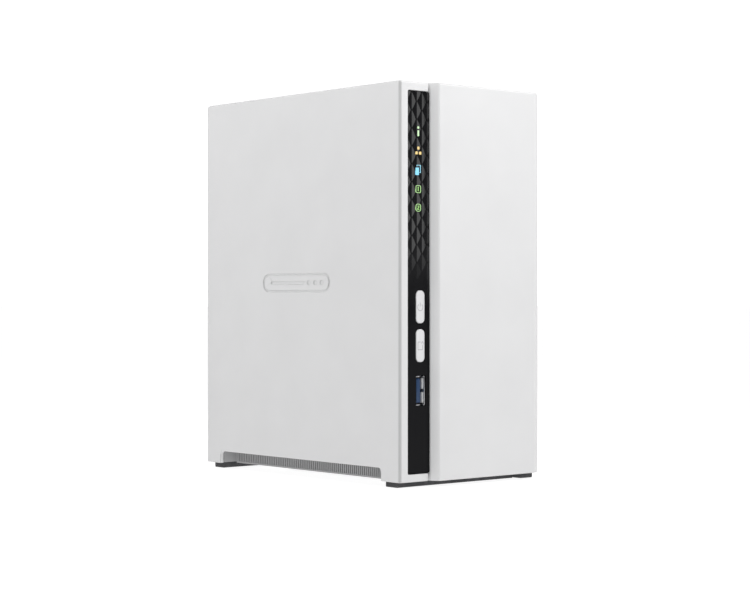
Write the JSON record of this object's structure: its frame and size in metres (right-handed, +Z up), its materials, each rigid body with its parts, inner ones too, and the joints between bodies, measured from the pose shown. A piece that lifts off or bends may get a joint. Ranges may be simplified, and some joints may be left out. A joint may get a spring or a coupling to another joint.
{
  "type": "network attached storage",
  "caption": "Desktop network attached storage tower: white two-bay case with a smoked light strip, push buttons, a front USB port, a rear fan and a slide-off side cover.",
  "frame": {"origin": "centre of the footprint, on the surface the feet rest on", "axes": "+Z up, +X to the right of the tower as seen from its front, +Y to its back"},
  "size_m": [0.0902, 0.1562, 0.1886],
  "materials": {
    "case_white": "fine satin moulded plastic",
    "strip_smoked": "smoked glossy plastic with a faint diamond relief",
    "button_white": "satin moulded plastic",
    "foot_charcoal": "dark matt rubber",
    "sheet_steel": "zinc-plated sheet",
    "drive_metal": "cast and pressed aluminium",
    "circuit_board": "green solder mask",
    "connector_steel": "plated connector shell",
    "connector_black": "black moulded plastic",
    "usb_blue": "blue moulded plastic",
    "light_guide": "clear moulded plastic",
    "fan_black": "black moulded plastic",
    "screw_steel": "zinc-plated",
    "heatsink_metal": "extruded aluminium",
    "cell_steel": "bright nickel-plated steel",
    "lead_black": "black insulated wire"
  },
  "bodies": {
    "chassis": {"base_screw_1": "screw_steel", "base_screw_2": "screw_steel", "base_screw_3": "screw_steel", "base_screw_4": "screw_steel", "base_tray": "case_white", "board_screw_1": "screw_steel", "board_screw_2": "screw_steel", "board_screw_3": "screw_steel", "coin_cell": "cell_steel", "coin_cell_holder": "connector_black", "copy_switch": "connector_black", "corner_foot": "foot_charcoal", "cover_screw_1": "screw_steel", "cover_screw_2": "screw_steel", "drive_1": "drive_metal", "drive_2": "drive_metal", "drive_board_1": "circuit_board", "drive_board_2": "circuit_board", "drive_cage": "sheet_steel", "drive_riser": "circuit_board", "drive_screw_1": "screw_steel", "drive_screw_2": "screw_steel", "drive_screw_3": "screw_steel", "drive_screw_4": "screw_steel", "fan_frame": "fan_black", "fan_lead": "lead_black", "fan_plug": "case_white", "fan_screw_1": "screw_steel", "fan_screw_2": "screw_steel", "fan_screw_3": "screw_steel", "fan_screw_4": "screw_steel", "front_foot": "foot_charcoal", "front_usb_shell": "connector_steel", "front_usb_tongue": "usb_blue", "heatsink": "heatsink_metal", "indicator_strip": "strip_smoked", "lan_jack": "connector_steel", "left_cover": "case_white", "light_guide": "light_guide", "mainboard": "circuit_board", "power_inlet": "connector_black", "power_switch": "connector_black", "processor": "connector_black", "rear_foot": "foot_charcoal", "rear_panel": "case_white", "rear_usb_1_shell": "connector_steel", "rear_usb_1_tongue": "connector_black", "rear_usb_2_shell": "connector_steel", "rear_usb_2_tongue": "connector_black", "reset_switch": "connector_black", "riser_connector": "connector_black", "sata_connector_1": "connector_black", "sata_connector_2": "connector_black"},
    "right_cover": {"right_cover": "case_white"},
    "power_button": {"power_button": "button_white", "power_switch_plunger": "connector_black"},
    "copy_button": {"copy_button": "button_white", "copy_switch_plunger": "connector_black"},
    "reset_button": {"reset_button": "connector_black"},
    "fan_rotor": {"fan_rotor": "fan_black"}
  },
  "joints": [
    {"name": "right_cover_slide", "type": "slide", "parent": "chassis", "child": "right_cover", "axis": [0, -1, 0], "range_m": [0, 0.155]},
    {"name": "power_button_press", "type": "slide", "parent": "chassis", "child": "power_button", "axis": [0, 1, 0], "range_m": [0, 0.0008], "stiffness_N_per_m": 1500, "springref_m": -0.0005},
    {"name": "copy_button_press", "type": "slide", "parent": "chassis", "child": "copy_button", "axis": [0, 1, 0], "range_m": [0, 0.0008], "stiffness_N_per_m": 1500, "springref_m": -0.0005},
    {"name": "reset_button_press", "type": "slide", "parent": "chassis", "child": "reset_button", "axis": [0, -1, 0], "range_m": [0, 0.0006], "stiffness_N_per_m": 1500, "springref_m": -0.0004},
    {"name": "fan_spin", "type": "hinge", "parent": "chassis", "child": "fan_rotor", "pos_m": [0.001, 0.06, 0.138], "axis": [0, 1, 0], "continuous": true}
  ]
}
